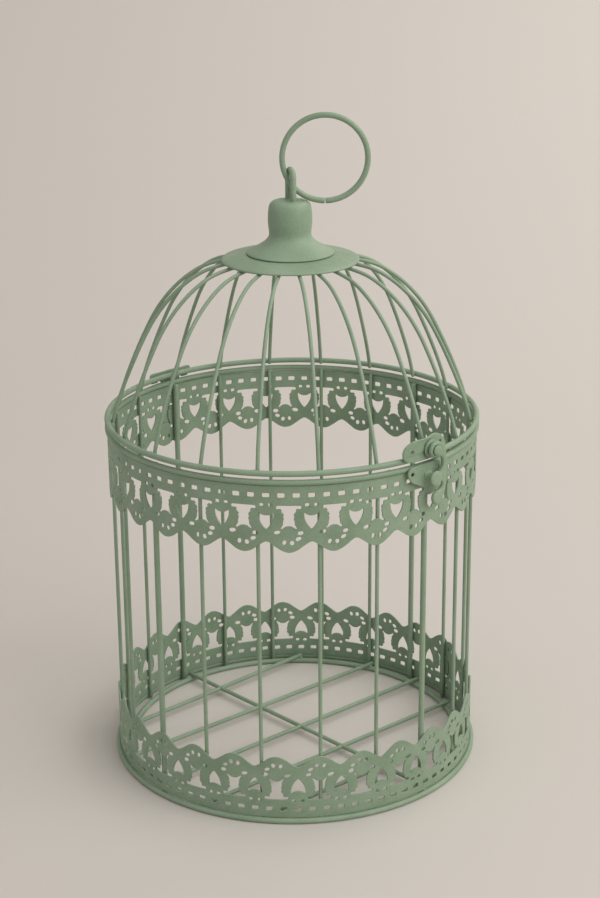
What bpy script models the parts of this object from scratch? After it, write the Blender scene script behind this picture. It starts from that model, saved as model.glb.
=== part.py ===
"""Decorative round wire card cage: hinged domed lid, hook latch, carry ring.

Metres, +Z up. The floor is Z = 0, the hinge is at +Y and the latch at -Y.
"""
import bpy
import bmesh
from math import cos, degrees, pi, radians, sin
from mathutils import Matrix, Vector

MM = 0.001

# ---- sizes in millimetres ----
WIRE = 1.0            # thin wire radius
ROD = 1.5             # thick wire radius
GAP = 0.3             # clearance where two real pieces are welded
RING_R = 98.5         # rim and lid ring centreline
RIM_Z = 187.8
LID_Z = 192.3
FOOT_R = 99.6
FLOOR_R = 92.3
BAR_R = 96.7          # thin upright centreline
POST_R = 96.2         # thick upright centreline
BAR_BOTTOM = 0.6
BAR_TOP = 185.9
GRID_WIRE = 1.15
BAND_R = 98.8         # band outer face
BAND_T = 0.75
BAND_H = 34.6
UPPER_TOP = 186.0
LOWER_BOTTOM = 3.1
MOTIFS = 28
WIRES = 20
POSTS = (0, 5, 10, 15)
DOME = ((95.6, 191.0), (92.2, 203.0), (86.6, 217.4), (79.4, 233.2), (72.2, 246.6), (63.6, 257.6),
        (53.6, 266.4), (43.0, 272.2), (28.0, 275.6))
CAP = ((0.0, 279.2), (22.9, 279.2), (36.0, 276.5), (36.0, 275.6), (22.9, 278.2), (0.0, 278.2))
FINIAL = ((0.0, 306.8), (8.4, 306.8), (9.5, 306.3), (10.4, 305.4), (11.0, 303.8), (11.5, 301.0),
          (11.75, 297.6), (11.5, 293.9), (11.1, 290.5), (11.3, 288.3), (12.8, 285.9), (15.6, 283.7),
          (19.2, 281.7), (22.9, 280.5), (22.9, 279.5), (0.0, 279.5))
EYE_HALF = 4.0        # half the spacing of the eye's legs
EYE_TOP = 322.6       # centreline height of the eye's crown
EYE_FOOT = 307.1
EYE_WIRE = 1.6
EYE_TURN = radians(19.0)   # the front leg stands to the right of the one behind
EYE_SHIFT = 0.5
CARRY_R = 22.0
CARRY_PIN = (1.2, 314.5)   # (right, up) where the carry ring passes through the eye
CARRY_LEAN = radians(50.6)
VIEW_AZ = 226.3       # the carry ring's plane faces this way
LATCH_AZ = 267.3
HINGE_Y = 101.95
HINGE_Z = 190.05


def wipe():
    for ob in list(bpy.data.objects):
        bpy.data.objects.remove(ob, do_unlink=True)


def new_collection(name):
    col = bpy.data.collections.new(name)
    bpy.context.scene.collection.children.link(col)
    return col


wipe()
PARTS = new_collection("wire_card_cage")
CUTTERS = new_collection("cutters")
SAGE = (0.50, 0.56, 0.43, 1.0)


def finish_material(ob, name):
    mat = bpy.data.materials.new(name)
    mat.use_nodes = True
    bsdf = mat.node_tree.nodes["Principled BSDF"]
    bsdf.inputs["Base Color"].default_value = SAGE
    bsdf.inputs["Roughness"].default_value = 0.45
    ob.data.materials.clear()
    ob.data.materials.append(mat)


def from_bmesh(name, bm, col=PARTS, merge=1e-6):
    bmesh.ops.remove_doubles(bm, verts=bm.verts, dist=merge)
    bmesh.ops.recalc_face_normals(bm, faces=bm.faces)
    me = bpy.data.meshes.new(name)
    bm.to_mesh(me)
    bm.free()
    ob = bpy.data.objects.new(name, me)
    col.objects.link(ob)
    if col is PARTS:
        finish_material(ob, name)
    else:
        ob.hide_render = True
        ob.display_type = "WIRE"
    return ob


def loop_faces(bm, rings, closed):
    """Join rings of vertices into a tube; a closed tube also joins the last ring to the first."""
    n = len(rings[0])
    count = len(rings) if closed else len(rings) - 1
    for i in range(count):
        a, b = rings[i], rings[(i + 1) % len(rings)]
        for k in range(n):
            bm.faces.new((a[k], a[(k + 1) % n], b[(k + 1) % n], b[k]))
    if not closed:
        bm.faces.new(rings[0])
        bm.faces.new(list(reversed(rings[-1])))


def tube(name, points, radius, sides=8, closed=False, up=Vector((0, 0, 1)), col=PARTS):
    """A round wire along points (mm). The section's frame is carried along the path."""
    pts = [Vector(p) for p in points]
    bm = bmesh.new()
    rings = []
    last = None
    total = len(pts)
    for i, p in enumerate(pts):
        if closed:
            a, b = pts[(i - 1) % total], pts[(i + 1) % total]
        else:
            a, b = pts[max(i - 1, 0)], pts[min(i + 1, total - 1)]
        t = (b - a).normalized()
        ref = last if last is not None else (up if abs(t.dot(up)) < 0.95 else Vector((1, 0, 0)))
        n = (ref - t * ref.dot(t)).normalized()
        last = n
        s = t.cross(n)
        ring = []
        for k in range(sides):
            g = 2 * pi * (k + 0.5) / sides
            ring.append(bm.verts.new((p + (n * cos(g) + s * sin(g)) * radius) * MM))
        rings.append(ring)
    loop_faces(bm, rings, closed)
    return from_bmesh(name, bm, col)


def hoop(name, radius, z, wire, steps=60, sides=8):
    """A level wire ring; its eight-sided section has a flat facet underneath."""
    bm = bmesh.new()
    rings = []
    for i in range(steps):
        a = 2 * pi * i / steps
        ring = []
        for k in range(sides):
            g = 2 * pi * (k + 0.5) / sides
            r = radius + wire * cos(g)
            ring.append(bm.verts.new(Vector((r * cos(a), r * sin(a), z + wire * sin(g))) * MM))
        rings.append(ring)
    loop_faces(bm, rings, True)
    return from_bmesh(name, bm)


def lathe(name, profile, steps=28):
    """Spin a closed (r, z) profile that starts and ends on the axis."""
    bm = bmesh.new()
    verts = [bm.verts.new(Vector((r, 0, z)) * MM) for r, z in profile]
    edges = [bm.edges.new((verts[i], verts[i + 1])) for i in range(len(verts) - 1)]
    bmesh.ops.spin(bm, geom=verts + edges, cent=(0, 0, 0), axis=(0, 0, 1), angle=2 * pi,
                   steps=steps, use_merge=True)
    return from_bmesh(name, bm)


def prism(name, outline, low, high, col=PARTS):
    """Extrude a flat outline (u, v) from depth low to depth high."""
    bm = bmesh.new()
    bottom = [bm.verts.new(Vector((u, v, low)) * MM) for u, v in outline]
    face = bm.faces.new(bottom)
    out = bmesh.ops.extrude_face_region(bm, geom=[face])
    moved = [g for g in out["geom"] if isinstance(g, bmesh.types.BMVert)]
    bmesh.ops.translate(bm, verts=moved, vec=Vector((0, 0, high - low)) * MM)
    return from_bmesh(name, bm, col)


def place(ob, matrix):
    ob.data.transform(matrix)
    ob.data.update()


def boolean(target, tool, operation):
    mod = target.modifiers.new(operation.lower(), "BOOLEAN")
    mod.operation = operation
    mod.solver = "EXACT"
    mod.object = tool
    deps = bpy.context.evaluated_depsgraph_get()
    me = bpy.data.meshes.new_from_object(target.evaluated_get(deps))
    target.modifiers.clear()
    old = target.data
    target.data = me
    bpy.data.meshes.remove(old)
    bpy.data.objects.remove(tool, do_unlink=True)
    finish_material(target, target.name)
    bm = bmesh.new()
    bm.from_mesh(target.data)
    bmesh.ops.remove_doubles(bm, verts=bm.verts, dist=2e-6)
    bmesh.ops.dissolve_degenerate(bm, edges=bm.edges, dist=1e-6)
    bm.to_mesh(target.data)
    bm.free()


def outward(azimuth, radius, z):
    """Local (u, v, w) = (right as seen from outside, up, outward) at a place on the wall."""
    a = radians(azimuth)
    out = Vector((cos(a), sin(a), 0))
    right = Vector((-sin(a), cos(a), 0))
    m = Matrix(((right.x, 0, out.x, 0), (right.y, 0, out.y, 0), (0, 1, 0, 0), (0, 0, 0, 1)))
    return Matrix.Translation(Vector((out.x * radius, out.y * radius, z)) * MM) @ m


# ---- rings ----
hoop("foot_ring", FOOT_R, ROD * cos(pi / 8), ROD)
hoop("rim_ring", RING_R, RIM_Z, ROD)
hoop("lid_ring", RING_R, LID_Z, ROD)

# ---- uprights: four thick posts and sixteen thin bars ----
for i in range(WIRES):
    a = 2 * pi * i / WIRES
    thick = i in POSTS
    r = POST_R if thick else BAR_R
    name = ("post_%02d" if thick else "bar_%02d") % i
    x, y = r * cos(a), r * sin(a)
    tube(name, ((x, y, BAR_BOTTOM), (x, y, BAR_TOP)), ROD if thick else WIRE,
         up=Vector((cos(a), sin(a), 0)))
    path = [(pr * cos(a), pr * sin(a), pz) for pr, pz in DOME]
    tube("dome_wire_%02d" % i, path, WIRE, sides=6, up=Vector((-sin(a), cos(a), 0)))

# ---- pierced bands ----
# Heights in a motif are measured down from the plain edge; s runs once round in motifs.
HEART = ((0.0, 15.0), (-3.5, 13.5), (0.0, 22.3), (3.5, 13.5))
PILLAR = ((-6.4, 10.3), (-3.1, 13.6), (-3.5, 20.9), (3.5, 20.9), (3.1, 13.6), (6.4, 10.3))


def scallop_depth(t):
    """Depth of the scalloped edge at t, where t = 0 is a heart and t = 0.5 a scallop's tip."""
    lobe = abs(2 * (t % 1.0) - 1.0)
    return 28.8 + (BAND_H - 28.8) * (1.0 - lobe ** 2.2) ** 0.6


def band(name, edge_z, direction, phase):
    """A rolled strip; direction -1 hangs its scallops down from edge_z, +1 stands them up."""
    steps = 6
    total = MOTIFS * steps
    pitch = 2 * pi / MOTIFS
    bm = bmesh.new()
    rings = []
    for i in range(total):
        a = phase + pitch * i / steps
        tip = edge_z + direction * scallop_depth(i / steps)
        ring = []
        for r, z in ((BAND_R, edge_z), (BAND_R, tip), (BAND_R - BAND_T, tip), (BAND_R - BAND_T, edge_z)):
            ring.append(bm.verts.new(Vector((r * cos(a), r * sin(a), z)) * MM))
        rings.append(ring)
    loop_faces(bm, rings, True)
    ob = from_bmesh(name, bm)
    bm = bmesh.new()
    for k in range(MOTIFS):
        for outline, offset in ((HEART, 0.0), (PILLAR, 0.5)):
            m = outward(degrees(phase + pitch * (k + offset)), 0, edge_z)
            bottom = [bm.verts.new(m @ (Vector((u, direction * v, 94.0)) * MM)) for u, v in outline]
            top = [bm.verts.new(m @ (Vector((u, direction * v, 102.0)) * MM)) for u, v in outline]
            loop_faces(bm, [bottom, top], False)
    cutter = from_bmesh(name + "_cut", bm, CUTTERS, merge=1e-7)
    boolean(ob, cutter, "DIFFERENCE")
    return ob


band("upper_band", UPPER_TOP, -1, 0.0)
band("lower_band", LOWER_BOTTOM, 1, radians(8.5))

# ---- floor: a rim ring with wires welded on top, made one body ----
GRID_LINES = ((66.8, -0.8), (32.9, -4.0), (-1.5, -3.6), (-34.7, -3.8), (-65.8, -4.5))
floor = hoop("floor_grid", FLOOR_R, ROD * cos(pi / 8), ROD)


def grid_wire(name, x0, y0, degrees, sides=6):
    """A straight wire through (x0, y0) that reaches the uprights' inner side at both ends."""
    d = Vector((cos(radians(degrees)), sin(radians(degrees)), 0))
    p = Vector((x0, y0, 0))
    reach = 93.6
    b = p.dot(d)
    root = (b * b - (p.dot(p) - reach * reach)) ** 0.5
    ends = [p + d * (-b - root), p + d * (-b + root)]
    z = 2 * ROD * cos(pi / 8) + GRID_WIRE * cos(pi / 8) - 0.25
    return tube(name, [(e.x, e.y, z) for e in ends], GRID_WIRE, col=CUTTERS, sides=sides)


boolean(floor, grid_wire("grid_cross", 2.9, 0.0, 89.8), "UNION")
for n, (y0, tilt) in enumerate(GRID_LINES):
    boolean(floor, grid_wire("grid_line_%d" % n, 0.0, y0, tilt), "UNION")

# ---- cap, finial, eye and carry ring ----
lathe("cap_plate", CAP)
lathe("finial", FINIAL)
view = radians(VIEW_AZ)
to_view = Vector((cos(view), sin(view), 0))
to_right = Vector((-sin(view), cos(view), 0))
ahead = to_view * cos(EYE_TURN) + to_right * sin(EYE_TURN)
crown = [(EYE_HALF, EYE_FOOT), (EYE_HALF, EYE_TOP - EYE_HALF)]
crown += [(EYE_HALF * cos(pi * k / 6), EYE_TOP - EYE_HALF + EYE_HALF * sin(pi * k / 6)) for k in range(1, 6)]
crown += [(-EYE_HALF, EYE_TOP - EYE_HALF), (-EYE_HALF, EYE_FOOT)]
tube("eye", [to_right * EYE_SHIFT + ahead * d + Vector((0, 0, z)) for d, z in crown], EYE_WIRE, up=to_right)
hub = to_right * (CARRY_PIN[0] + CARRY_R * sin(CARRY_LEAN))
hub.z = CARRY_PIN[1] + CARRY_R * cos(CARRY_LEAN)
circle = []
for k in range(36):
    g = 2 * pi * k / 36
    circle.append(hub + to_right * (CARRY_R * cos(g)) + Vector((0, 0, CARRY_R * sin(g))))
tube("carry_ring", circle, ROD, closed=True, up=to_view)

# ---- hinge ----
KNUCKLE_R = 1.55
PIN_R = 0.75
BORE_R = 1.0
LEAF_HALF = 15.0
LEAF_IN = 100.35
LEAF_OUT = 101.45


def circle_outline(cu, cv, r, sides=16):
    return [(cu + r * cos(2 * pi * (k + 0.5) / sides), cv + r * sin(2 * pi * (k + 0.5) / sides))
            for k in range(sides)]


def along_x(name, outline, x0, x1, col=PARTS):
    """Extrude a (y, z) outline from x0 to x1."""
    ob = prism(name, outline, x0, x1, col)
    place(ob, Matrix(((0, 0, 1, 0), (1, 0, 0, 0), (0, 1, 0, 0), (0, 0, 0, 1))))
    return ob


def leaf(name, plate_low, plate_high, spans, toward):
    """A plate with barrels rolled round the pin at each of the given spans."""
    ob = along_x(name, ((LEAF_IN, plate_low), (LEAF_OUT, plate_low), (LEAF_OUT, plate_high),
                        (LEAF_IN, plate_high)), -LEAF_HALF, LEAF_HALF)
    edge = plate_low if toward > 0 else plate_high
    for n, (x0, x1) in enumerate(spans):
        web = along_x("web", ((LEAF_IN + 0.1, HINGE_Z), (LEAF_OUT - 0.1, HINGE_Z),
                              (LEAF_OUT - 0.1, edge + toward * 0.5), (LEAF_IN + 0.1, edge + toward * 0.5)),
                      x0, x1, CUTTERS)
        boolean(ob, web, "UNION")
        barrel = along_x("barrel", circle_outline(HINGE_Y, HINGE_Z, KNUCKLE_R), x0, x1, CUTTERS)
        boolean(ob, barrel, "UNION")
    bore = along_x("bore", circle_outline(HINGE_Y, HINGE_Z, BORE_R), -20, 20, CUTTERS)
    boolean(ob, bore, "DIFFERENCE")
    return ob


leaf("hinge_leaf_lid", 191.9, 194.9, ((-13.2, -9.2), (9.2, 13.2)), 1)
leaf("hinge_leaf_cage", 184.0, 188.2, ((-6.5, 6.5),), -1)
along_x("hinge_pin", circle_outline(HINGE_Y, HINGE_Z, PIN_R), -14.4, 14.4)

# ---- latch, in (u, v) seen from outside, v up ----
PIVOT = (3.2, 196.5)
PEG = (2.0, 182.3)
PLATE_W = (100.35, 101.35)
HOOK_W = (103.3, 105.5)
NAILS = ((-9.2, 197.0), (9.9, 198.6))
BAT = ((0.1, 202.7), (2.7, 203.3), (5.2, 203.7), (7.7, 203.4), (11.2, 201.5), (13.3, 199.0),
       (14.6, 195.6), (13.6, 193.3), (10.9, 192.0), (5.6, 191.5), (-1.0, 191.4), (-9.8, 191.8),
       (-13.2, 193.2), (-14.7, 195.6), (-14.3, 198.6), (-12.2, 200.9), (-8.2, 202.3), (-4.0, 202.5))
KEEP = ((-5.0, 189.2), (5.0, 189.2), (9.4, 188.8), (12.0, 187.0), (11.2, 183.6), (8.2, 179.8),
        (4.2, 177.6), (0.5, 177.0), (-3.6, 177.6), (-7.8, 179.8), (-11.0, 183.6), (-11.8, 187.0),
        (-9.4, 188.8))
ARM = ((-0.9, 195.6), (-0.7, 198.2), (0.9, 200.1), (3.2, 200.7), (5.9, 200.5), (8.0, 199.0),
       (9.4, 196.4), (10.4, 193.0), (10.9, 189.4), (11.0, 185.6), (10.8, 181.6), (10.5, 177.8),
       (9.9, 173.9), (8.7, 170.0), (6.6, 167.7), (4.2, 167.3), (2.2, 168.6), (1.3, 170.9),
       (2.0, 173.2), (4.2, 174.5), (6.6, 175.1), (7.8, 176.6), (8.0, 178.4), (6.4, 179.6),
       (5.0, 181.0), (4.7, 182.4), (5.0, 184.0), (6.8, 185.6), (8.0, 187.2), (8.1, 189.8),
       (7.2, 192.0), (5.2, 192.8), (2.6, 192.4), (0.4, 193.5))


def on_latch(ob):
    place(ob, outward(LATCH_AZ, 0, 0))
    return ob


plate = prism("latch_plate", BAT, *PLATE_W)
for u, v in NAILS:
    boolean(plate, prism("nail", circle_outline(u, v, 1.2, 10), 95, 106, CUTTERS), "DIFFERENCE")
boolean(plate, prism("rivet_hole", circle_outline(*PIVOT, 1.8), 95, 106, CUTTERS), "DIFFERENCE")
on_latch(plate)
arm = prism("hook", ARM, *HOOK_W)
boolean(arm, prism("eye_hole", circle_outline(*PIVOT, 1.8), 95, 106, CUTTERS), "DIFFERENCE")
on_latch(arm)
rivet = prism("pivot_rivet", circle_outline(*PIVOT, 1.5), PLATE_W[0], 106.1)
boolean(rivet, prism("rivet_head", circle_outline(*PIVOT, 2.6, 20), 105.8, 106.9, CUTTERS), "UNION")
boolean(rivet, prism("rivet_washer", circle_outline(*PIVOT, 4.5, 20), 101.65, 102.6, CUTTERS), "UNION")
on_latch(rivet)
keeper = prism("keeper_plate", KEEP, *PLATE_W)
for u in (-8.8, 8.8):
    boolean(keeper, prism("nail", circle_outline(u, 185.2, 1.2, 10), 95, 106, CUTTERS), "DIFFERENCE")
on_latch(keeper)
peg = prism("peg", circle_outline(*PEG, 2.0), PLATE_W[1] + GAP, 106.2)
boolean(peg, prism("peg_head", circle_outline(*PEG, 3.9, 20), 105.9, 107.5, CUTTERS), "UNION")
on_latch(peg)
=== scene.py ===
import random
from math import atan2, cos, pi, radians, sin

import bmesh
import bpy
from mathutils import Matrix, Vector, noise


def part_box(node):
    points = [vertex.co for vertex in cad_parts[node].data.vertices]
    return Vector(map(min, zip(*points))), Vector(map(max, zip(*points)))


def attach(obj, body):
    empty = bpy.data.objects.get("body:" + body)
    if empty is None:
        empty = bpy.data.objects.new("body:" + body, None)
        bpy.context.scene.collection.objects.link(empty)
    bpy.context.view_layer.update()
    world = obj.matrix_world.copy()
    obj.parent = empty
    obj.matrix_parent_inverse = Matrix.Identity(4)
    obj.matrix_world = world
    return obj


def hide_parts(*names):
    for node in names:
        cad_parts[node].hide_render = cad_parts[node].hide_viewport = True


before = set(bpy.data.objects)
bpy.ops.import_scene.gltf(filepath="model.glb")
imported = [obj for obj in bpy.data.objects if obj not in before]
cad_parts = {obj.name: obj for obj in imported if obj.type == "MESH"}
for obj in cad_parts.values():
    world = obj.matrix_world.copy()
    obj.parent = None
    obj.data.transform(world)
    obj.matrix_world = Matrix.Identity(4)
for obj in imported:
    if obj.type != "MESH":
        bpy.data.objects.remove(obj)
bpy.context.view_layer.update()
print("frame loaded:", len(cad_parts), "nodes")

mm = 0.001
pieceCollection = bpy.data.collections.new("cardCage")
bpy.context.scene.collection.children.link(pieceCollection)


# finishes: one powder coat in four variants
paint = {
    "base": (0.272, 0.371, 0.253),
    "light": (0.305, 0.404, 0.282),
    "dark": (0.233, 0.330, 0.218),
    "chip": (0.060, 0.066, 0.044),
    "roughness": (0.40, 0.56),
}


def addNode(tree, kind, place, **values):
    node = tree.nodes.new(kind)
    node.location = place
    for name, value in values.items():
        setattr(node, name, value)
    return node


def makeCoat(name, lumpScale, lumpDepth, peelDepth, chipEdge, tone=1.0, patch=38.0):
    # Powder coat: soft patches of tone, fine speckle, orange peel and a few dark chips.
    coat = bpy.data.materials.new(name)
    coat.use_nodes = True
    tree = coat.node_tree
    link = tree.links.new
    shader = tree.nodes["Principled BSDF"]
    coords = addNode(tree, "ShaderNodeTexCoord", (-1500, 0)).outputs["Object"]

    def cloud(scale, detail, place, rough=0.5):
        node = addNode(tree, "ShaderNodeTexNoise", place)
        node.inputs["Scale"].default_value = scale
        node.inputs["Detail"].default_value = detail
        node.inputs["Roughness"].default_value = rough
        link(coords, node.inputs["Vector"])
        return node.outputs["Fac"]

    def ramp(source, stops, place):
        node = addNode(tree, "ShaderNodeValToRGB", place)
        bar = node.color_ramp
        bar.elements[0].position, bar.elements[0].color = stops[0][0], (*stops[0][1], 1)
        bar.elements[1].position, bar.elements[1].color = stops[-1][0], (*stops[-1][1], 1)
        for position, colour in stops[1:-1]:
            bar.elements.new(position).color = (*colour, 1)
        link(source, node.inputs["Fac"])
        return node.outputs["Color"]

    def mix(kind, amount, a, b, place):
        node = addNode(tree, "ShaderNodeMix", place, data_type="RGBA", blend_type=kind)
        node.inputs[0].default_value = amount
        if not isinstance(amount, float):
            link(amount, node.inputs[0])
        link(a, node.inputs[6])
        link(b, node.inputs[7])
        return node.outputs[2]

    def shade(colour):
        return tuple(c * tone for c in colour)

    patches = ramp(cloud(patch, 4.0, (-1250, 300)),
                   ((0.30, shade(paint["dark"])), (0.50, shade(paint["base"])),
                    (0.72, shade(paint["light"]))), (-1000, 300))
    speckle = ramp(cloud(1100.0, 3.0, (-1250, 40), 0.65),
                   ((0.25, (0.80, 0.80, 0.79)), (0.75, (1.0, 1.0, 1.0))), (-1000, 40))
    coloured = mix("MULTIPLY", 1.0, patches, speckle, (-700, 200))
    chipMask = ramp(cloud(420.0, 5.0, (-1250, -220), 0.7),
                    ((chipEdge, (0, 0, 0)), (chipEdge + 0.035, (1, 1, 1))), (-1000, -220))
    chipColour = ramp(cloud(90.0, 1.0, (-1250, -460)),
                      ((0.3, paint["chip"]), (0.7, shade(paint["dark"]))), (-1000, -460))
    chips = addNode(tree, "ShaderNodeMix", (-450, 100), data_type="RGBA", blend_type="MIX")
    link(chipMask, chips.inputs[0])
    link(coloured, chips.inputs[6])
    link(chipColour, chips.inputs[7])
    link(chips.outputs[2], shader.inputs["Base Color"])

    rough = addNode(tree, "ShaderNodeMapRange", (-450, -150))
    rough.inputs["From Min"].default_value = 0.3
    rough.inputs["From Max"].default_value = 0.7
    rough.inputs["To Min"].default_value = paint["roughness"][0]
    rough.inputs["To Max"].default_value = paint["roughness"][1]
    link(cloud(230.0, 3.0, (-700, -150)), rough.inputs["Value"])
    link(rough.outputs["Result"], shader.inputs["Roughness"])
    shader.inputs["Specular IOR Level"].default_value = 0.42

    lumps = addNode(tree, "ShaderNodeBump", (-450, -400))
    lumps.inputs["Strength"].default_value = 0.55
    lumps.inputs["Distance"].default_value = lumpDepth * mm
    link(cloud(lumpScale, 3.0, (-700, -400)), lumps.inputs["Height"])
    peel = addNode(tree, "ShaderNodeBump", (-220, -400))
    peel.inputs["Strength"].default_value = 0.5
    peel.inputs["Distance"].default_value = peelDepth * mm
    link(cloud(2600.0, 2.0, (-700, -620)), peel.inputs["Height"])
    link(lumps.outputs["Normal"], peel.inputs["Normal"])
    link(peel.outputs["Normal"], shader.inputs["Normal"])
    return coat


wireCoat = makeCoat("sageWireCoat", lumpScale=320.0, lumpDepth=0.10, peelDepth=0.03, chipEdge=0.735)
sheetCoat = makeCoat("sageSheetCoat", lumpScale=210.0, lumpDepth=0.09, peelDepth=0.03, chipEdge=0.715,
                     tone=0.98, patch=60.0)
castCoat = makeCoat("sageCastCoat", lumpScale=260.0, lumpDepth=0.16, peelDepth=0.035, chipEdge=0.700,
                    tone=1.03)
spunCoat = makeCoat("sageSpunCoat", lumpScale=120.0, lumpDepth=0.07, peelDepth=0.03, chipEdge=0.725,
                    tone=1.02, patch=30.0)
print("finishes made")


# shaping used by several pieces
def finishPiece(name, bm, coat, body, replaced, sharp=50):
    # Turns a bmesh into a smooth-shaded piece that rides on a body and stands for its CAD nodes.
    # Edges sharper than this many degrees stay crisp; with None the bmesh is taken as it comes.
    if sharp is not None:
        bmesh.ops.remove_doubles(bm, verts=bm.verts, dist=2e-7)
        bmesh.ops.recalc_face_normals(bm, faces=bm.faces)
        for edge in bm.edges:
            if len(edge.link_faces) == 2 and edge.calc_face_angle(0.0) > radians(sharp):
                edge.smooth = False
    for face in bm.faces:
        face.smooth = True
    mesh = bpy.data.meshes.new(name)
    bm.to_mesh(mesh)
    bm.free()
    mesh.materials.append(coat)
    piece = bpy.data.objects.new(name, mesh)
    pieceCollection.objects.link(piece)
    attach(piece, body)
    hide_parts(*replaced)
    return piece


def pathFrames(points):
    # One matrix per point: Z along the wire, carried along without twist.
    points = [Vector(p) for p in points]
    tangents = []
    for i in range(len(points)):
        before, after = points[max(i - 1, 0)], points[min(i + 1, len(points) - 1)]
        tangents.append((after - before).normalized())
    side = tangents[0].orthogonal().normalized()
    frames = []
    for i, (point, along) in enumerate(zip(points, tangents)):
        if i:
            side = tangents[i - 1].rotation_difference(along) @ side
        side = (side - along * side.dot(along)).normalized()
        up = along.cross(side)
        turn = Matrix((side, up, along)).transposed().to_4x4()
        frames.append(Matrix.Translation(point) @ turn)
    return frames


def edgesOf(verts):
    # every edge at these vertices once, in the same order each run
    return list(dict.fromkeys(edge for vert in verts for edge in vert.link_edges))


def sweepWire(bm, points, radius, sides=12, endRound=0.35):
    # A round wire: a circle extruded step by step along the points, with softened ends.
    frames = pathFrames(points)
    start = bmesh.ops.create_circle(bm, cap_ends=False, segments=sides, radius=radius,
                                    matrix=frames[0])["verts"]
    rim = edgesOf(start)
    firstRim = rim
    for before, here in zip(frames, frames[1:]):
        grown = bmesh.ops.extrude_edge_only(bm, edges=rim)["geom"]
        verts = [g for g in grown if isinstance(g, bmesh.types.BMVert)]
        fresh = set(verts)
        rim = [g for g in grown if isinstance(g, bmesh.types.BMEdge) and set(g.verts) <= fresh]
        bmesh.ops.transform(bm, matrix=here @ before.inverted(), verts=verts)
    for ring in (firstRim, rim):
        cap = bmesh.ops.holes_fill(bm, edges=ring, sides=0)["faces"]
        edges = [edge for face in cap for edge in face.edges]
        bmesh.ops.bevel(bm, geom=edges, offset=radius * endRound, offset_type="OFFSET", affect="EDGES",
                        segments=2, profile=0.5, material=-1, clamp_overlap=True)


def addHoop(bm, radius, height, wire, steps):
    section = Matrix.Translation((radius, 0, height)) @ Matrix.Rotation(pi / 2, 4, "X")
    verts = bmesh.ops.create_circle(bm, cap_ends=False, segments=14, radius=wire, matrix=section)["verts"]
    bmesh.ops.spin(bm, geom=verts + edgesOf(verts), cent=(0, 0, 0), axis=(0, 0, 1), angle=2 * pi, steps=steps,
                   use_merge=True)


def addWeld(bm, place, size, squash=1.0, seed=0):
    # A low bead of weld under the paint.
    made = bmesh.ops.create_uvsphere(bm, u_segments=10, v_segments=6, radius=size)["verts"]
    for vert in made:
        wobble = noise.noise(vert.co / size * 1.7 + Vector((seed * 3.1, 0, 0)))
        vert.co *= 1.0 + 0.16 * wobble
    bmesh.ops.scale(bm, vec=(1, 1, squash), verts=made)
    bmesh.ops.translate(bm, vec=place, verts=made)


def spinProfile(bm, profile, steps, unit=mm):
    # profile is (radius, height) from one end on the axis to the other; unit is its unit in metres
    verts = [bm.verts.new((r * unit, 0, z * unit)) for r, z in profile]
    edges = [bm.edges.new(pair) for pair in zip(verts, verts[1:])]
    bmesh.ops.spin(bm, geom=verts + edges, cent=(0, 0, 0), axis=(0, 0, 1), angle=2 * pi, steps=steps,
                   use_merge=True)
    bmesh.ops.remove_doubles(bm, verts=bm.verts, dist=2e-6)


def easeCurve(points, steps):
    # Catmull-Rom points through a list of (a, b) pairs
    pts = [Vector(p) for p in points]
    pts = [2 * pts[0] - pts[1]] + pts + [2 * pts[-1] - pts[-2]]
    out = []
    for i in range(1, len(pts) - 2):
        a, b, c, d = pts[i - 1:i + 3]
        for k in range(steps):
            t = k / steps
            out.append(0.5 * (2 * b + (c - a) * t + (2 * a - 5 * b + 4 * c - d) * t * t
                              + (3 * b - a - 3 * c + d) * t ** 3))
    out.append(pts[-2])
    return out


def cutCorners(points, times):
    for _ in range(times):
        out = []
        for i, (x0, y0) in enumerate(points):
            x1, y1 = points[(i + 1) % len(points)]
            out += [(x0 * 0.75 + x1 * 0.25, y0 * 0.75 + y1 * 0.25),
                    (x0 * 0.25 + x1 * 0.75, y0 * 0.25 + y1 * 0.75)]
        points = out
    return points


def flatSheet(outlines, **settings):
    # A flat curve, the first outline its edge and the others holes in it, made a mesh, in mm.
    flat = bpy.data.curves.new("blank", "CURVE")
    flat.dimensions = "2D"
    flat.fill_mode = "BOTH"
    for name, value in settings.items():
        setattr(flat, name, value)
    for outline in outlines:
        spline = flat.splines.new("POLY")
        spline.points.add(len(outline) - 1)
        for point, (x, y) in zip(spline.points, outline):
            point.co = (x, y, 0, 1)
        spline.use_cyclic_u = True
    holder = bpy.data.objects.new("blank", flat)
    bpy.context.scene.collection.objects.link(holder)
    mesh = bpy.data.meshes.new_from_object(holder.evaluated_get(bpy.context.evaluated_depsgraph_get()))
    bpy.data.objects.remove(holder, do_unlink=True)
    bpy.data.curves.remove(flat)
    return mesh


def castSheet(outlines, low, high, roundness, resolution):
    # A plate with rounded edges between two heights, in mm.
    mesh = flatSheet(outlines, extrude=(high - low) / 2 - roundness, bevel_depth=roundness,
                     bevel_resolution=resolution, offset=-roundness)
    bm = bmesh.new()
    bm.from_mesh(mesh)
    bpy.data.meshes.remove(mesh)
    bmesh.ops.remove_doubles(bm, verts=bm.verts, dist=0.004)
    for vert in bm.verts:
        vert.co.z += (low + high) / 2
    return bm


def wallMatrix(azimuth):
    # (u, v, w) in mm, right, up and outward as seen from outside, to the object's metres
    a = radians(azimuth)
    out = Vector((cos(a), sin(a), 0))
    right = Vector((-sin(a), cos(a), 0))
    turn = Matrix(((right.x, 0, out.x, 0), (right.y, 0, out.y, 0), (0, 1, 0, 0), (0, 0, 0, 1)))
    return turn @ Matrix.Scale(mm, 4)


def circlePoints(x, y, radius, count=20):
    turns = [2 * pi * k / count for k in range(count)]
    return [(x + radius * cos(turn), y + radius * sin(turn)) for turn in turns]


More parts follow.
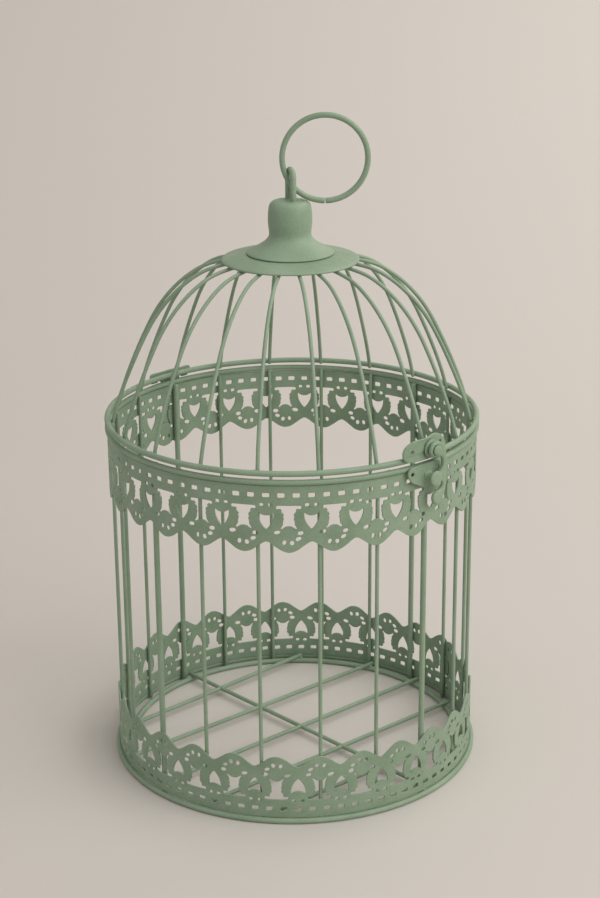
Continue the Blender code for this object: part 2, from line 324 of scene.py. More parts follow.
def ringOf(node):
    # centreline radius, height and wire radius of a packed ring
    low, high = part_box(node)
    tall = high[2] - low[2]
    return high[0] - tall / 2, (low[2] + high[2]) / 2, tall / 2 / cos(pi / 8)


# rings
rings = {
    "steps": 216, "weld": 0.95, "bead": 0.62, "waver": 0.12, "welds": 20,
    "weldLift": {"rim_ring": -0.9, "lid_ring": 0.7, "foot_ring": 0.9},
}


def waver(bm, amount, seed):
    # hand-made wire is never quite true
    for vert in bm.verts:
        a = atan2(vert.co.y, vert.co.x)
        lift = noise.noise(Vector((cos(a) * 1.6, sin(a) * 1.6, seed)))
        push = noise.noise(Vector((cos(a) * 1.9, sin(a) * 1.9, seed + 7.0)))
        vert.co.z += lift * amount
        vert.co.x += cos(a) * push * amount
        vert.co.y += sin(a) * push * amount


for name, node, body, seed in (("rimRing", "rim_ring", "cage", 1.0), ("lidRing", "lid_ring", "lid", 2.0),
                               ("footRing", "foot_ring", "cage", 3.0)):
    radius, height, wire = ringOf(node)
    bm = bmesh.new()
    if node == "foot_ring":
        height = wire
    addHoop(bm, radius, height, wire, rings["steps"])
    if node != "foot_ring":
        waver(bm, rings["waver"] * mm, seed)
    rng = random.Random(int(seed * 11))
    lift = rings["weldLift"][node] * mm
    inner = radius - 1.0 * mm
    for k in range(rings["welds"]):
        a = 2 * pi * k / rings["welds"] + rng.uniform(-0.012, 0.012)
        spot = Vector((inner * cos(a), inner * sin(a), height + lift + rng.uniform(-0.1, 0.1) * mm))
        addWeld(bm, spot, rings["weld"] * mm * rng.uniform(0.85, 1.2), 0.8, k)
        if node == "rim_ring" and k % 2 == 0:
            over = radius - 0.3 * mm
            spot = Vector((over * cos(a + 0.05), over * sin(a + 0.05), height + 1.15 * mm))
            addWeld(bm, spot, rings["bead"] * mm * rng.uniform(0.8, 1.2), 0.75, k + 40)
    finishPiece(name, bm, wireCoat, body, [node])
print("rings made")


# uprights
uprights = {"thin": 1.0, "thick": 1.5, "sides": 14, "steps": 14, "bow": 0.22, "reach": 1.0}
rng = random.Random(7)
for k in range(20):
    thick = k % 5 == 0
    node = ("post_%02d" if thick else "bar_%02d") % k
    low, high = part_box(node)
    x, y = (low[0] + high[0]) / 2, (low[1] + high[1]) / 2
    wire = (uprights["thick"] if thick else uprights["thin"]) * mm
    a = radians(18 * k)
    bowOut, bowSide = rng.uniform(-1, 1) * uprights["bow"] * mm, rng.uniform(-1, 1) * uprights["bow"] * mm
    top = high[2] + uprights["reach"] * mm
    points = []
    for i in range(uprights["steps"] + 1):
        t = i / uprights["steps"]
        push = sin(pi * t)
        points.append((x + (cos(a) * bowOut * 0.6 - sin(a) * bowSide) * push,
                       y + (sin(a) * bowOut * 0.6 + cos(a) * bowSide) * push, low[2] + (top - low[2]) * t))
    bm = bmesh.new()
    sweepWire(bm, points, wire, uprights["sides"])
    finishPiece(("post%02d" if thick else "bar%02d") % k, bm, wireCoat, "cage", [node])
print("uprights made")


# dome wires
dome = {
    "wire": 1.0, "sides": 12, "smooth": 5,
    "profile": ((95.75, 191.3), (92.4, 203.0), (86.8, 217.4), (79.6, 233.2), (72.3, 246.6), (63.7, 257.6),
                (53.7, 266.4), (43.0, 272.2), (28.0, 275.6)),
}
rng = random.Random(19)
for k in range(20):
    a = radians(18 * k)
    twist = rng.uniform(-0.35, 0.35)
    swell = rng.uniform(-0.35, 0.35)
    points = []
    curve = easeCurve(dome["profile"], dome["smooth"])
    for i, (r, z) in enumerate(curve):
        t = i / (len(curve) - 1)
        side = twist * sin(pi * t)
        reach = r + swell * sin(pi * t)
        points.append(Vector((reach * cos(a) - side * sin(a), reach * sin(a) + side * cos(a), z)) * mm)
    bm = bmesh.new()
    sweepWire(bm, points, dome["wire"] * mm, dome["sides"])
    finishPiece("domeWire%02d" % k, bm, wireCoat, "lid", ["dome_wire_%02d" % k])
print("dome wires made")


# pierced bands
# s is across a repeat from the middle of a heart; d is depth below the plain edge, in mm
lace = {
    "pitch": 13.1, "repeats": 28, "radius": 98.42, "thickness": 0.8, "round": 0.14, "lapGap": 0.06,
    "ripple": 0.10,
    "seam": ((4.0, 0.0), (4.0, 10.6), (4.15, 12.4), (5.0, 13.4), (5.6, 14.8), (5.6, 18.4), (4.5, 21.6),
              (1.1, 24.4), (0.0, 26.1), (0.0, 28.9)),
    "heart": ((-3.57, 13.5), (-2.93, 14.3), (-1.7, 15.0), (0.0, 15.3), (1.7, 15.0), (2.93, 14.3),
              (3.57, 13.5), (3.83, 14.6), (3.67, 16.6), (2.93, 18.8), (1.7, 20.8), (0.37, 22.4),
              (-0.37, 22.4), (-1.7, 20.8), (-2.93, 18.8), (-3.67, 16.6), (-3.83, 14.6)),
    "pillar": ((-6.39, 10.9), (-5.64, 10.2), (-3.19, 10.1), (0.0, 10.15), (3.19, 10.1), (5.64, 10.2),
              (6.39, 10.9), (6.07, 12.1), (5.01, 12.2), (4.15, 12.0), (3.51, 12.7), (3.83, 13.6),
              (2.93, 14.2), (2.5, 15.1), (2.93, 16.0), (2.5, 16.9), (2.77, 17.9), (2.93, 18.7),
              (2.93, 19.8), (3.51, 21.0), (4.21, 22.0), (3.62, 22.6), (2.66, 22.0), (1.6, 21.2),
              (0.0, 20.9), (-1.6, 21.2), (-2.66, 22.0), (-3.62, 22.6), (-4.21, 22.0), (-3.51, 21.0),
              (-2.93, 19.8), (-2.93, 18.7), (-2.77, 17.9), (-2.5, 16.9), (-2.93, 16.0), (-2.5, 15.1),
              (-2.93, 14.2), (-3.83, 13.6), (-3.51, 12.7), (-4.15, 12.0), (-5.01, 12.2),
              (-6.07, 12.1)),
    "fan": ((-5.8, -0.2, 3.5, 2.2, -12), (-2.3, 5.1, 2.0, 2.7, 14), (1.5, 5.4, 2.2, 2.6, -14),
            (4.7, 3.2, 3.0, 2.1, -24), (5.75, 0.2, 3.1, 2.3, -6)),
    "fanDepth": 24.4,
    "edge": ((0.0, 28.9), (1.17, 29.25), (2.77, 30.3), (4.69, 31.75), (6.5, 33.1), (8.2, 34.1), (9.8, 34.6),
             (11.13, 34.75)),
}


def roundedHole(x, y, width, height, tilt=0.0, power=5.0, count=12):
    # a rectangle with rounded corners, rounder as power comes down to 2
    turn = radians(tilt)
    out = []
    for k in range(count):
        g = 2 * pi * (k + 0.5) / count
        c, s = cos(g), sin(g)
        u = abs(c) ** (2 / power) * (1 if c > 0 else -1) * width / 2
        v = abs(s) ** (2 / power) * (1 if s > 0 else -1) * height / 2
        out.append((x + u * cos(turn) - v * sin(turn), y + u * sin(turn) + v * cos(turn)))
    return out


def shrink(points, factor):
    cx = sum(p[0] for p in points) / len(points)
    cy = sum(p[1] for p in points) / len(points)
    return [(cx + (x - cx) * factor, cy + (y - cy) * factor) for x, y in points]


laceWidth = lace["radius"] * radians(lace["pitch"])


def laceSeam(k):
    # the line where two repeats meet: it keeps to solid metal, and is straight at the strip's ends
    middle = k * laceWidth
    if 0 < k < lace["repeats"]:
        return [(middle + s, d) for s, d in lace["seam"]]
    return [(middle, 0.0), (middle, lace["edge"][0][1])]


def laceRepeat(k, rng):
    # Outlines of one repeat, laid flat. Paint build-up makes no two holes quite alike.
    half = laceWidth / 2
    left, right = k * laceWidth, (k + 1) * laceWidth
    middle = left + half
    stretch = half / lace["edge"][-1][0]
    rim = laceSeam(k)
    rim += [(left + s * stretch, d + rng.uniform(-0.07, 0.07)) for s, d in lace["edge"][1:]]
    rim += [(right - s * stretch, d + rng.uniform(-0.07, 0.07)) for s, d in reversed(lace["edge"][1:-1])]
    rim += laceSeam(k + 1)[::-1]
    outlines = [rim]
    last = k + 1 == lace["repeats"]
    for n in range(2 if last else 3):
        outlines.append(roundedHole(left + (n + 1) * laceWidth / 3, 4.8, 3.85 * rng.uniform(0.94, 1.04),
                                    2.7 * rng.uniform(0.92, 1.04)))
    for s in [right - 2.25] + ([] if last else [right + 2.25]) + ([] if k else [left + 2.25]):
        outlines.append(roundedHole(s, 9.75, 2.5 * rng.uniform(0.88, 1.06), 2.1 * rng.uniform(0.88, 1.05),
                                    power=3.5, count=8))
    outlines.append([(middle + s, d) for s, d in shrink(lace["pillar"], rng.uniform(1.0, 1.02))])
    for s, d, w, h, tilt in lace["fan"]:
        size = rng.uniform(0.92, 1.06)
        outlines.append(roundedHole(middle + s, lace["fanDepth"] + d, w * size + 0.25, h * size + 0.25,
                                    tilt, power=2.3, count=10))
    if not last:
        heart = shrink(cutCorners(lace["heart"], 1), rng.uniform(1.0, 1.05))
        outlines.append([(right + s, d) for s, d in heart])
    return outlines


def laceStrip(seed):
    # Each repeat is filled by itself and cut into six, which keeps the faces small enough to bend.
    rng = random.Random(seed)
    strip = bmesh.new()
    cut = laceWidth / 6
    for k in range(lace["repeats"]):
        mesh = flatSheet(laceRepeat(k, rng))
        tile = bmesh.new()
        tile.from_mesh(mesh)
        for n in range(k * 6 - 1, k * 6 + 9):
            bmesh.ops.bisect_plane(tile, geom=tile.verts[:] + tile.edges[:] + tile.faces[:], dist=1e-5,
                                   plane_co=(n * cut, 0, 0), plane_no=(1, 0, 0))
        tile.to_mesh(mesh)
        tile.free()
        strip.from_mesh(mesh)
        bpy.data.meshes.remove(mesh)
    bmesh.ops.remove_doubles(strip, verts=strip.verts, dist=0.003)
    bmesh.ops.recalc_face_normals(strip, faces=strip.faces)
    strip.normal_update()
    strip.faces.ensure_lookup_table()
    if strip.faces[0].normal.z < 0:
        bmesh.ops.reverse_faces(strip, faces=strip.faces)
    return strip


def thicken(sheet, thickness, roundness):
    # Gives a flat sheet its back and a wall with rounded corners round every edge and hole.
    border = [edge for edge in sheet.edges if len(edge.link_faces) == 1]
    away = {}
    for edge in border:
        a, b = edge.verts
        out = Vector((b.co.y - a.co.y, a.co.x - b.co.x, 0)).normalized()
        if out.dot(edge.link_faces[0].calc_center_median() - a.co) > 0:
            out = -out
        for vert in edge.verts:
            away.setdefault(vert, []).append(out)
    copied = bmesh.ops.duplicate(sheet, geom=sheet.faces[:])["geom"]
    lowered = [g for g in copied if isinstance(g, bmesh.types.BMVert)]
    bmesh.ops.translate(sheet, vec=(0, 0, -thickness), verts=lowered)
    bmesh.ops.reverse_faces(sheet, faces=[g for g in copied if isinstance(g, bmesh.types.BMFace)])
    shift = {}
    for vert, outs in away.items():
        out = sum(outs, Vector()).normalized()
        shift[vert] = out * roundness / max(out.dot(outs[0]), 0.6)
    edges = border
    for drop, side in ((roundness, 1), (thickness - 2 * roundness, 0), (roundness, -1)):
        grown = bmesh.ops.extrude_edge_only(sheet, edges=edges)["geom"]
        fresh = {g for g in grown if isinstance(g, bmesh.types.BMVert)}
        moved = {}
        for vert in fresh:
            beside = [edge.other_vert(vert) for edge in vert.link_edges]
            source = next(other for other in beside if other in shift)
            moved[vert] = shift[source]
            vert.co = source.co + shift[source] * side - Vector((0, 0, drop))
        shift = moved
        edges = [g for g in grown if isinstance(g, bmesh.types.BMEdge) and set(g.verts) <= fresh]
    bmesh.ops.remove_doubles(sheet, verts=sheet.verts, dist=0.002)
    bmesh.ops.recalc_face_normals(sheet, faces=sheet.faces)
    sheet.normal_update()
    for edge in sheet.edges:
        if len(edge.link_faces) == 2:
            a, b = (abs(face.normal.z) > 0.99 for face in edge.link_faces)
            edge.smooth = a == b
    bmesh.ops.translate(sheet, vec=(0, 0, thickness / 2), verts=sheet.verts)


def makeBand(name, node, seed, start, upward):
    # start is the azimuth of the strip's first end, near the hinge
    bm = laceStrip(seed)
    thicken(bm, lace["thickness"], lace["round"])
    low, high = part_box(node)
    edgeZ = (low[2] if upward else high[2]) / mm
    full = 2 * pi * lace["radius"]
    for vert in bm.verts:
        s, d, w = vert.co
        turn = s / lace["radius"]
        rise = min(max((s - full + 6.0) / 5.0, 0.0), 1.0)  # the strip's end laps over its start
        lap = rise * rise * (3 - 2 * rise) * (lace["thickness"] + lace["lapGap"])
        a = radians(start) + (-turn if upward else turn)
        z = edgeZ + (d if upward else -d)
        ripple = lace["ripple"] * noise.noise(Vector((cos(a) * 2.2, sin(a) * 2.2, seed)))
        r = lace["radius"] + w + lap + ripple
        vert.co = Vector((r * cos(a), r * sin(a), z)) * mm
    bmesh.ops.recalc_face_normals(bm, faces=bm.faces)
    openEdges = sum(1 for edge in bm.edges if len(edge.link_faces) != 2)
    piece = finishPiece(name, bm, sheetCoat, "cage", [node], sharp=None)
    print(name, len(piece.data.polygons), "faces,", openEdges, "open edges")


makeBand("upperBand", "upper_band", 3, 87.58, False)
makeBand("lowerBand", "lower_band", 5, 345.0, True)
print("bands made")


# floor grid
grid = {
    "weldRadius": 92.3, "weldHeight": 2.9, "weld": 1.15, "sink": 0.35, "sag": 0.5, "sway": 0.35, "steps": 18,
    "ring": 1.5, "wire": 1.2, "reach": 95.2, "cross": (2.9, 0.0, 89.8),
    "lines": ((66.8, -0.8), (32.9, -4.0), (-1.5, -3.6), (-34.7, -3.8), (-65.8, -4.5)),
}
bm = bmesh.new()
ringWire = grid["ring"] * mm
addHoop(bm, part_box("floor_grid")[1][0] - ringWire, ringWire, ringWire, 180)


def gridWire(x, y, degrees, seed):
    # a slightly sagging wire through (x, y), welded to the ring at both ends
    along = Vector((cos(radians(degrees)), sin(radians(degrees)), 0))
    base = Vector((x, y, 0))
    b = base.dot(along)
    root = (b * b - (base.dot(base) - grid["reach"] ** 2)) ** 0.5
    start, end = base + along * (-b - root), base + along * (-b + root)
    z = 2 * grid["ring"] + grid["wire"] - grid["sink"]
    points = []
    for i in range(grid["steps"] + 1):
        t = i / grid["steps"]
        p = start.lerp(end, t)
        sag = -grid["sag"] * sin(pi * t)
        sway = grid["sway"] * noise.noise(Vector((t * 2.3, seed, 0.5))) * sin(pi * t)
        height = z + sag * (0.4 if seed else 0.2)
        points.append(Vector((p.x - along.y * sway, p.y + along.x * sway, height)) * mm)
    sweepWire(bm, points, grid["wire"] * mm, 12)
    for spot in (points[0], points[-1]):
        inward = spot * (grid["weldRadius"] * mm / Vector((spot.x, spot.y, 0)).length)
        addWeld(bm, Vector((inward.x, inward.y, grid["weldHeight"] * mm)), grid["weld"] * mm, 0.8, seed)


gridWire(*grid["cross"], 0)
for n, (y, tilt) in enumerate(grid["lines"]):
    gridWire(0.0, y, tilt, n + 1)
finishPiece("floorGrid", bm, wireCoat, "cage", ["floor_grid"])
print("floor grid made")


# cap, finial, eye and carry ring
top = {
    "cap": ((0.0, 279.1), (21.0, 279.1), (23.2, 279.0), (26.5, 278.55), (31.0, 277.7), (34.2, 276.95),
            (35.6, 276.5), (36.0, 276.2), (36.1, 275.8), (35.8, 275.4), (35.0, 275.3), (31.0, 276.4),
            (26.5, 277.5), (21.0, 278.15), (0.0, 278.2)),
    "finial": ((0.0, 306.8), (4.0, 306.8), (7.0, 306.78), (8.3, 306.65), (9.3, 306.2), (10.15, 305.45),
               (10.75, 304.4), (11.1, 303.0), (11.35, 301.2), (11.5, 299.0), (11.55, 296.8), (11.5, 294.8),
               (11.3, 292.8), (11.05, 291.2), (10.95, 289.8), (11.1, 288.6), (11.65, 287.4), (12.6, 286.2),
               (14.0, 284.9), (15.9, 283.6), (18.2, 282.3), (20.4, 281.2), (22.0, 280.45), (22.7, 280.05),
               (23.0, 279.75), (22.95, 279.45), (22.6, 279.25), (0.0, 279.4)),
    "eyeHalf": 4.0, "eyeTop": 322.6, "eyeFoot": 305.6, "eyeWire": 1.6, "eyeTurn": 19.0, "eyeShift": 0.5,
    "eyeWeld": 1.95,
    "ringWire": 1.5, "ringRadius": 22.0, "pin": (1.2, 314.5), "lean": 50.6, "facing": 226.3, "butt": 0.35,
}
bm = bmesh.new()
spinProfile(bm, top["cap"], 96)
finishPiece("capPlate", bm, spunCoat, "lid", ["cap_plate"], sharp=60)
bm = bmesh.new()
spinProfile(bm, top["finial"], 72)
finishPiece("finial", bm, spunCoat, "lid", ["finial"], sharp=60)

# level directions towards the camera and to its right, with the eye turned a little from them
facing = radians(top["facing"])
toView = Vector((cos(facing), sin(facing), 0))
toRight = Vector((-sin(facing), cos(facing), 0))
upward = Vector((0, 0, 1))
turn = radians(top["eyeTurn"])
ahead = toView * cos(turn) + toRight * sin(turn)
eyeHalf, crown = top["eyeHalf"], top["eyeTop"] - top["eyeHalf"]
leg = [(-eyeHalf, top["eyeFoot"]), (-eyeHalf, (top["eyeFoot"] + crown) / 2), (-eyeHalf, crown)]
arch = [(-eyeHalf * cos(pi * k / 12), crown + eyeHalf * sin(pi * k / 12)) for k in range(1, 12)]
loop = leg + arch + [(-a, z) for a, z in reversed(leg)]
eyeMiddle = toRight * top["eyeShift"]
bm = bmesh.new()
sweepWire(bm, [(eyeMiddle + ahead * a + upward * z) * mm for a, z in loop], top["eyeWire"] * mm, 16)
for side in (-1, 1):
    foot = eyeMiddle + ahead * eyeHalf * side + upward * top["finial"][0][1]
    addWeld(bm, foot * mm, top["eyeWeld"] * mm, 0.3, side + 3)
finishPiece("eye", bm, wireCoat, "lid", ["eye"])

lean = radians(top["lean"])
hub = (upward * (top["pin"][1] + top["ringRadius"] * cos(lean))
       + toRight * (top["pin"][0] + top["ringRadius"] * sin(lean)))
points = []
gap = top["butt"] / 2 / top["ringRadius"]
for k in range(73):
    g = -pi / 2 + gap + (2 * pi - 2 * gap) * k / 72
    spoke = toRight * top["ringRadius"] * cos(g) + upward * top["ringRadius"] * sin(g)
    points.append((hub + spoke) * mm)
bm = bmesh.new()
sweepWire(bm, points, top["ringWire"] * mm, 16, endRound=0.28)
finishPiece("carryRing", bm, wireCoat, "carry_ring", ["carry_ring"])
print("top made")


# latch
latch = {
    "azimuth": 267.3, "plate": (100.35, 101.45), "bow": 0.9, "blade": (103.2, 105.6),
    "pivot": (3.2, 196.5), "pivotHole": 1.9, "peg": (2.0, 182.3),
    "nail": 1.0, "round": 0.42, "bladeRound": 1.1, "batNails": ((-9.2, 197.0), (9.9, 198.6)),
    "keeperNails": ((-8.8, 185.2), (8.8, 185.2)),
    "bat": ((-0.2, 202.6), (1.8, 202.9), (3.6, 203.6), (5.8, 203.9), (8.0, 203.5), (10.4, 202.3),
            (12.4, 200.7), (13.9, 198.6), (14.8, 196.2), (14.6, 193.9), (12.9, 192.5), (9.6, 191.8),
            (4.8, 191.4), (-1.0, 191.3), (-6.0, 191.4), (-10.4, 191.7), (-13.2, 192.6), (-14.8, 194.4),
            (-15.1, 197.0), (-14.4, 199.3), (-12.6, 201.0), (-10.2, 202.1), (-7.4, 202.6), (-4.4, 202.6),
            (-2.2, 202.5)),
    "keeper": ((-4.8, 189.3), (0.0, 189.4), (4.8, 189.3), (8.8, 189.0), (11.2, 188.2), (12.1, 186.2),
               (11.5, 183.7), (10.0, 181.5), (8.0, 179.9), (6.0, 179.2), (4.2, 178.2), (2.4, 177.1),
               (0.4, 176.7), (-1.8, 177.1), (-3.8, 178.2), (-5.8, 179.2), (-7.8, 179.9), (-9.8, 181.5),
               (-11.3, 183.7), (-11.9, 186.2), (-11.0, 188.2), (-8.8, 189.0)),
    "arm": ((-1.0, 195.6), (-0.8, 198.2), (0.9, 200.2), (3.2, 200.9), (5.9, 200.6), (8.1, 199.0),
            (9.5, 196.4), (10.5, 193.0), (11.0, 189.4), (11.1, 185.6), (10.9, 181.6), (10.6, 177.8),
            (10.0, 173.9), (8.8, 170.0), (6.7, 167.5), (4.2, 167.0), (2.0, 168.4), (1.1, 170.9),
            (1.8, 173.3), (4.1, 174.7), (6.6, 175.2), (7.8, 176.6), (8.0, 178.4), (6.4, 179.6),
            (5.0, 181.0), (4.7, 182.4), (5.0, 184.0), (6.8, 185.6), (8.0, 187.2), (8.1, 189.8),
            (7.2, 192.0), (5.2, 192.8), (2.6, 192.4), (0.3, 193.4)),
    "rivetProfile": ((0.0, 100.3), (3.4, 100.3), (4.5, 101.3), (4.85, 101.7), (4.75, 102.1), (4.3, 102.4),
                     (3.3, 102.6), (2.6, 102.7), (1.6, 102.85), (1.6, 105.6), (2.2, 105.75), (2.6, 105.95),
                     (2.65, 106.25), (2.4, 106.55), (1.7, 106.8), (0.8, 106.9), (0.0, 106.95)),
    "pegProfile": ((0.0, 101.2), (2.9, 101.2), (2.6, 101.6), (2.2, 102.0), (2.0, 102.8), (2.0, 105.4),
                   (2.3, 105.8), (3.2, 105.9), (3.75, 106.15), (3.95, 106.5), (3.8, 106.95), (3.3, 107.25),
                   (2.0, 107.45), (0.0, 107.5)),
}
wall = wallMatrix(latch["azimuth"])


def castPlate(name, node, body, outline, nails):
    # a nailed plate, bowed to follow the cage
    low, high = latch["plate"]
    holes = [circlePoints(u, v, latch["nail"], 16) for u, v in nails]
    bm = castSheet([cutCorners(outline, 2)] + holes, low, high, latch["round"], 4)
    for vert in bm.verts:
        vert.co.z -= (100 - (100 ** 2 - vert.co.x ** 2) ** 0.5) * latch["bow"]
    bmesh.ops.transform(bm, matrix=wall, verts=bm.verts)
    finishPiece(name, bm, castCoat, body, [node], sharp=55)


castPlate("latchPlate", "latch_plate", "lid", latch["bat"], latch["batNails"])
castPlate("keeperPlate", "keeper_plate", "cage", latch["keeper"], latch["keeperNails"])
bm = castSheet([cutCorners(latch["arm"], 2), circlePoints(*latch["pivot"], latch["pivotHole"], 24)],
               *latch["blade"], latch["bladeRound"], 4)
bmesh.ops.transform(bm, matrix=wall, verts=bm.verts)
finishPiece("hook", bm, castCoat, "hook", ["hook"], sharp=55)

bm = bmesh.new()
spinProfile(bm, latch["rivetProfile"], 40, unit=1.0)
bmesh.ops.transform(bm, matrix=wall @ Matrix.Translation((*latch["pivot"], 0)), verts=bm.verts)
finishPiece("pivotRivet", bm, castCoat, "lid", ["pivot_rivet"], sharp=60)
bm = bmesh.new()
spinProfile(bm, latch["pegProfile"], 36, unit=1.0)
bmesh.ops.transform(bm, matrix=wall @ Matrix.Translation((*latch["peg"], 0)), verts=bm.verts)
finishPiece("peg", bm, castCoat, "cage", ["peg"], sharp=60)
print("latch made")


# hinge
hinge = {
    "y": 101.95, "z": 190.05, "knuckle": 1.55, "pin": 0.8, "pinHalf": 14.4, "plate": (100.35, 101.35),
    "bevel": 0.25, "round": 0.35,
    "lid": {"leaf": ((-14.6, 194.2), (-13.2, 194.9), (-7.0, 194.6), (0.0, 195.0), (7.0, 194.6), (13.2, 194.9),
                     (14.6, 194.2), (15.0, 193.0), (14.2, 191.7), (-14.2, 191.7), (-15.0, 193.0)),
            "spans": ((-13.2, -9.2), (9.2, 13.2)), "edge": 192.2},
    "cage": {"leaf": ((-14.6, 184.6), (-13.0, 183.6), (-6.0, 184.0), (0.0, 183.4), (6.0, 184.0),
                      (13.0, 183.6), (14.6, 184.6), (15.0, 186.4), (14.2, 188.4), (-14.2, 188.4),
                      (-15.0, 186.4)),
             "spans": ((-6.5, 6.5),), "edge": 187.9},
}


def addBarrel(bm, x0, x1):
    # a rolled barrel round the pin
    x0, x1 = x0 * mm, x1 * mm
    middle = Matrix.Translation(((x0 + x1) / 2, hinge["y"] * mm, hinge["z"] * mm))
    made = bmesh.ops.create_cone(bm, cap_ends=True, segments=20, radius1=hinge["knuckle"] * mm,
                                 radius2=hinge["knuckle"] * mm, depth=x1 - x0,
                                 matrix=middle @ Matrix.Rotation(pi / 2, 4, "Y"))["verts"]
    rims = [edge for edge in edgesOf(made) if len(edge.link_faces) == 2 and edge.calc_face_angle(0) > 1.2]
    bmesh.ops.bevel(bm, geom=rims, offset=hinge["bevel"] * mm, offset_type="OFFSET", affect="EDGES",
                    segments=2, profile=0.5, material=-1, clamp_overlap=True)


def addWeb(bm, x0, x1, z0, z1):
    # joins a barrel to its plate
    low, high = hinge["plate"]
    made = bmesh.ops.create_cube(bm, size=1.0)["verts"]
    bmesh.ops.scale(bm, vec=((x1 - x0) * mm, (high - low - 0.1) * mm, (z1 - z0) * mm), verts=made)
    bmesh.ops.translate(bm, vec=Vector(((x0 + x1) / 2, (low + high) / 2, (z0 + z1) / 2)) * mm, verts=made)


for name, node, body in (("hingeLeafLid", "hinge_leaf_lid", "lid"),
                         ("hingeLeafCage", "hinge_leaf_cage", "cage")):
    half = hinge[body]
    bm = castSheet([cutCorners(half["leaf"], 2)], *hinge["plate"], hinge["round"], 3)
    bmesh.ops.transform(bm, matrix=wallMatrix(90.0), verts=bm.verts)
    for x0, x1 in half["spans"]:
        addBarrel(bm, x0, x1)
        addWeb(bm, x0, x1, min(half["edge"], hinge["z"]), max(half["edge"], hinge["z"]))
    finishPiece(name, bm, castCoat, body, [node])
bm = bmesh.new()
pinStops = (-hinge["pinHalf"], -5.0, 5.0, hinge["pinHalf"])
sweepWire(bm, [Vector((x, hinge["y"], hinge["z"])) * mm for x in pinStops], hinge["pin"] * mm, 12)
finishPiece("hingePin", bm, castCoat, "cage", ["hinge_pin"])
print("hinge made")


# floor, light and camera
stage = {
    "depth": 2.6, "flat": 0.55, "width": 3.6, "wall": 2.6, "bend": 0.9, "colour": (0.60, 0.56, 0.515),
    "world": (0.86, 0.85, 0.84), "worldStrength": 0.5,
}


def makeBackdrop():
    # A sheet of paper that runs from the floor up the wall in one sweep.
    bm = bmesh.new()
    flat, bend = stage["flat"], stage["bend"]
    profile = [(-stage["depth"], 0.0), (flat, 0.0)]
    for k in range(1, 25):
        g = pi / 2 * k / 24
        profile.append((flat + bend * sin(g), bend * (1 - cos(g))))
    profile.append((flat + bend, stage["wall"]))
    verts = [bm.verts.new((-stage["width"], y, z)) for y, z in profile]
    edges = [bm.edges.new(pair) for pair in zip(verts, verts[1:])]
    grown = bmesh.ops.extrude_edge_only(bm, edges=edges)["geom"]
    moved = [g for g in grown if isinstance(g, bmesh.types.BMVert)]
    bmesh.ops.translate(bm, vec=(2 * stage["width"], 0, 0), verts=moved)
    bmesh.ops.rotate(bm, matrix=Matrix.Rotation(facing + pi / 2, 3, "Z"), verts=bm.verts)
    bmesh.ops.recalc_face_normals(bm, faces=bm.faces)
    if sum(face.normal.z * face.calc_area() for face in bm.faces) < 0:
        bmesh.ops.reverse_faces(bm, faces=bm.faces)
    for face in bm.faces:
        face.smooth = True
    mesh = bpy.data.meshes.new("backdrop")
    bm.to_mesh(mesh)
    bm.free()
    paper = bpy.data.materials.new("backdropPaper")
    paper.use_nodes = True
    tree = paper.node_tree
    shader = tree.nodes["Principled BSDF"]
    coords = addNode(tree, "ShaderNodeTexCoord", (-900, 0))
    cloud = addNode(tree, "ShaderNodeTexNoise", (-700, 0))
    cloud.inputs["Scale"].default_value = 2.0
    cloud.inputs["Detail"].default_value = 3.0
    tree.links.new(coords.outputs["Object"], cloud.inputs["Vector"])
    tint = addNode(tree, "ShaderNodeValToRGB", (-450, 0))
    tint.color_ramp.elements[0].color = (*[c * 0.985 for c in stage["colour"]], 1)
    tint.color_ramp.elements[1].color = (*[c * 1.015 for c in stage["colour"]], 1)
    tree.links.new(cloud.outputs["Fac"], tint.inputs["Fac"])
    tree.links.new(tint.outputs["Color"], shader.inputs["Base Color"])
    shader.inputs["Roughness"].default_value = 0.9
    shader.inputs["Specular IOR Level"].default_value = 0.15
    # Seen from behind the paper is clear, so that it hides nothing from a camera on that side.
    side = addNode(tree, "ShaderNodeNewGeometry", (0, 300))
    clear = addNode(tree, "ShaderNodeBsdfTransparent", (0, -300))
    mix = addNode(tree, "ShaderNodeMixShader", (300, 0))
    tree.links.new(side.outputs["Backfacing"], mix.inputs[0])
    tree.links.new(shader.outputs["BSDF"], mix.inputs[1])
    tree.links.new(clear.outputs["BSDF"], mix.inputs[2])
    tree.links.new(mix.outputs["Shader"], tree.nodes["Material Output"].inputs["Surface"])
    mesh.materials.append(paper)
    sheet = bpy.data.objects.new("backdrop", mesh)
    bpy.context.scene.collection.objects.link(sheet)


makeBackdrop()


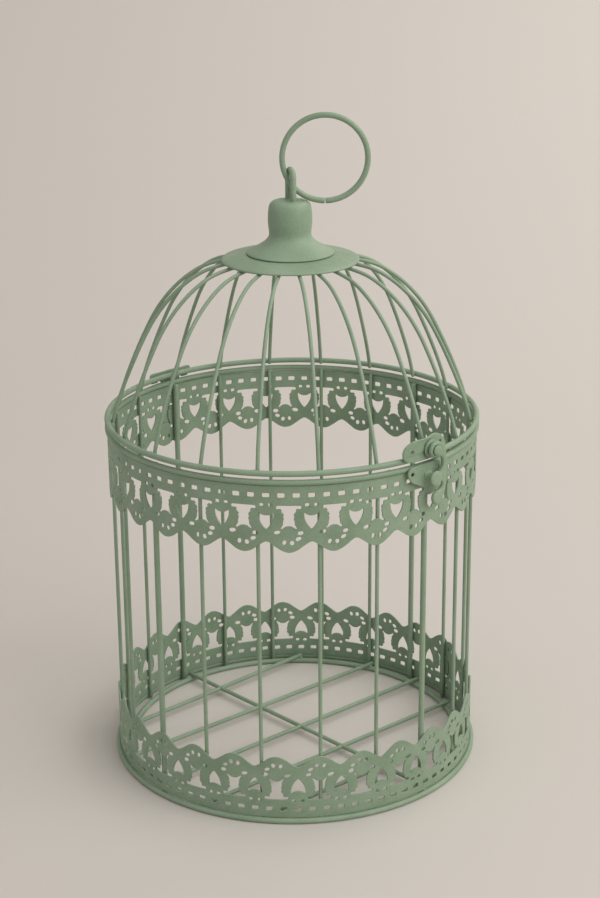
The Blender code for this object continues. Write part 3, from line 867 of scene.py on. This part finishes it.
def addLight(name, place, aim, size, power, colour):
    lamp = bpy.data.lights.new(name, "AREA")
    lamp.shape = "SQUARE"
    lamp.size = size
    lamp.energy = power
    lamp.color = colour
    holder = bpy.data.objects.new(name, lamp)
    bpy.context.scene.collection.objects.link(holder)
    turn = (place - aim).to_track_quat("Z", "Y").to_matrix().to_4x4()
    holder.matrix_world = Matrix.Translation(place) @ turn


def fromCamera(right, near, up):
    # right of the cage, towards the camera and up, in metres
    return toRight * right + toView * near + upward * up


for name, spot, aim, size, power, colour in (
        ("windowSoft", (1.4, 0.8, 1.4), (0, -0.1, 0.15), 1.9, 30.0, (1.0, 0.985, 0.965)),
        ("ceilingSoft", (0.0, -0.3, 2.1), (0, -0.4, 0.0), 2.2, 7.0, (1.0, 0.985, 0.97)),
        ("leftFill", (-1.7, 0.9, 0.9), (0, 0, 0.15), 1.6, 3.0, (1.0, 0.98, 0.96)),
        ("farFloorWash", (0.9, -0.9, 1.3), (0.6, -0.7, 0.0), 0.9, 5.5, (1.0, 0.985, 0.965))):
    addLight(name, fromCamera(*spot), fromCamera(*aim), size, power, colour)

world = bpy.data.worlds.new("studio")
bpy.context.scene.world = world
world.use_nodes = True
sky = world.node_tree.nodes["Background"]
sky.inputs["Color"].default_value = (*stage["world"], 1)
sky.inputs["Strength"].default_value = stage["worldStrength"]

shot = {"away": 0.94297, "height": 0.49734, "pitch": 19.086, "yaw": 0.253, "roll": -0.472, "lens": 74.17}
eyePoint = toView * shot["away"] + upward * shot["height"]
pitch, yaw, roll = radians(shot["pitch"]), radians(shot["yaw"]), radians(shot["roll"])
look = (-toView * cos(yaw) + toRight * sin(yaw)) * cos(pitch) - upward * sin(pitch)
level = (toRight * cos(yaw) + toView * sin(yaw)).normalized()
steep = level.cross(look)
camRight = level * cos(roll) + steep * sin(roll)
camUp = -level * sin(roll) + steep * cos(roll)
lens = bpy.data.cameras.new("camera")
lens.sensor_width = 36.0
lens.lens = shot["lens"]
lens.clip_start = 0.02
camera = bpy.data.objects.new("camera", lens)
bpy.context.scene.collection.objects.link(camera)
camera.matrix_world = Matrix.Translation(eyePoint) @ Matrix((camRight, camUp, -look)).transposed().to_4x4()
bpy.context.scene.camera = camera
bpy.context.scene.view_settings.view_transform = "Standard"
print("stage, lights and camera made")
